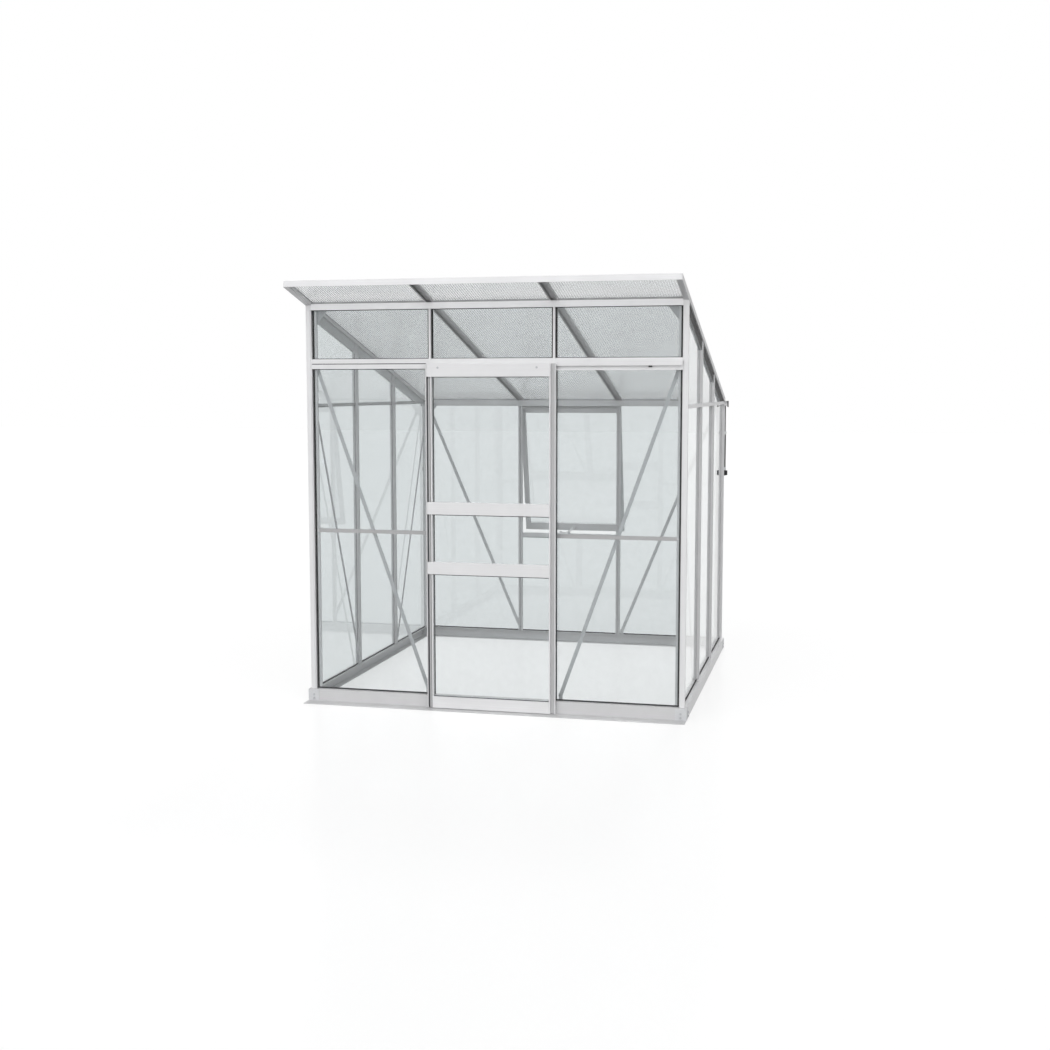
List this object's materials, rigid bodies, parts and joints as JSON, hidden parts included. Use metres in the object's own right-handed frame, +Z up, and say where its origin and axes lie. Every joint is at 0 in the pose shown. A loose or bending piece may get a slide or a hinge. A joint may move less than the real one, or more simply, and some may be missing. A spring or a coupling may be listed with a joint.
{
  "type": "greenhouse",
  "caption": "Pent-roof garden greenhouse on a square base: aluminium T-bars, clear glazing, ribbed roof, sliding door, outward-opening window on a slotted stay, gutter",
  "frame": {"origin": "middle of the front wall's outer face, on the ground under the base rails", "axes": "+X to the right seen from the front, +Y from the door wall to the low back wall, +Z up"},
  "size_m": [1.946, 2.3719, 2.1025],
  "materials": {
    "aluminium_sections": "mill-finished satin extrusion",
    "sheet_aluminium": "stamped satin sheet",
    "wall_glazing": "clear flat pane",
    "roof_sheet": "ribbed translucent sheet",
    "seal_rubber": "matte black strip",
    "brush_pile": "dense dark pile",
    "black_plastic": "moulded satin black",
    "grey_plastic": "moulded satin grey",
    "zinc_steel": "zinc plated"
  },
  "bodies": {
    "root": {"back_base_rail": "aluminium_sections", "back_braces": "sheet_aluminium", "back_corner_posts": "aluminium_sections", "back_eave_beam": "aluminium_sections", "back_glazing_bars": "aluminium_sections", "back_panes": "wall_glazing", "base_corner_plates": "sheet_aluminium", "brace_cleats": "sheet_aluminium", "door_jamb_strip": "brush_pile", "door_track": "aluminium_sections", "downpipe_collars": "black_plastic", "downpipe_necks_and_spouts": "black_plastic", "downpipes": "grey_plastic", "eave_gusset_plates": "sheet_aluminium", "eave_gutter": "aluminium_sections", "eave_seals": "seal_rubber", "frame_bolts": "zinc_steel", "front_base_rail": "aluminium_sections", "front_braces": "sheet_aluminium", "front_corner_posts": "aluminium_sections", "front_eave_beam": "aluminium_sections", "front_glazing_bars": "aluminium_sections", "front_panes": "wall_glazing", "front_transoms": "aluminium_sections", "glazing_joint_strips": "sheet_aluminium", "glazing_seals": "seal_rubber", "gutter_end_caps": "black_plastic", "left_glazing_bars": "aluminium_sections", "left_panes": "wall_glazing", "right_glazing_bars": "aluminium_sections", "right_panes": "wall_glazing", "roof_back_closer": "aluminium_sections", "roof_bar_caps": "aluminium_sections", "roof_bars": "aluminium_sections", "roof_front_fascia": "aluminium_sections", "roof_sheets": "roof_sheet", "side_base_rails": "aluminium_sections", "side_braces": "sheet_aluminium", "side_eave_rails": "aluminium_sections", "side_verge_seals": "seal_rubber", "stay_peg": "zinc_steel", "track_stops": "black_plastic", "verge_bars": "aluminium_sections", "window_sill_rail": "aluminium_sections"},
    "door": {"door_stiles": "aluminium_sections", "door_top_rail": "aluminium_sections", "door_middle_rails": "aluminium_sections", "door_bottom_rail": "aluminium_sections", "door_panes": "wall_glazing", "door_brush_seals": "brush_pile", "door_bottom_guides": "black_plastic", "door_hangers": "zinc_steel"},
    "roller_left": {"door_roller_left": "black_plastic"},
    "roller_right": {"door_roller_right": "black_plastic"},
    "window": {"window_top_rail": "aluminium_sections", "window_bottom_rail": "aluminium_sections", "window_stiles": "aluminium_sections", "window_pane": "wall_glazing", "window_stay_bracket": "sheet_aluminium"},
    "stay_arm": {"window_stay_arm": "aluminium_sections"}
  },
  "joints": [
    {"name": "door_slide", "type": "slide", "parent": "root", "child": "door", "axis": [1, 0, 0], "range_m": [0, 0.523]},
    {"name": "left_roller_spin", "type": "hinge", "parent": "door", "child": "roller_left", "pos_m": [-0.258, -0.008, 1.69], "axis": [0, 1, 0], "range_deg": [-10, 3650]},
    {"name": "right_roller_spin", "type": "hinge", "parent": "door", "child": "roller_right", "pos_m": [0.236, -0.008, 1.69], "axis": [0, 1, 0], "range_deg": [-10, 3650]},
    {"name": "window_hinge", "type": "hinge", "parent": "root", "child": "window", "pos_m": [0, 1.922, 1.47401], "axis": [1, 0, 0], "range_deg": [-11.4, 12.5]},
    {"name": "stay_pivot", "type": "hinge", "parent": "window", "child": "stay_arm", "pos_m": [0, 2.06083, 0.71138], "axis": [1, 0, 0], "range_deg": [-3.2, 3.2]}
  ],
  "couplings": [
    {"joint": "left_roller_spin", "follows": "door_slide", "rad_per_m": 121.21},
    {"joint": "right_roller_spin", "follows": "door_slide", "rad_per_m": 121.21},
    {"joint": "stay_pivot", "follows": "window_hinge", "ratio": -0.205}
  ]
}
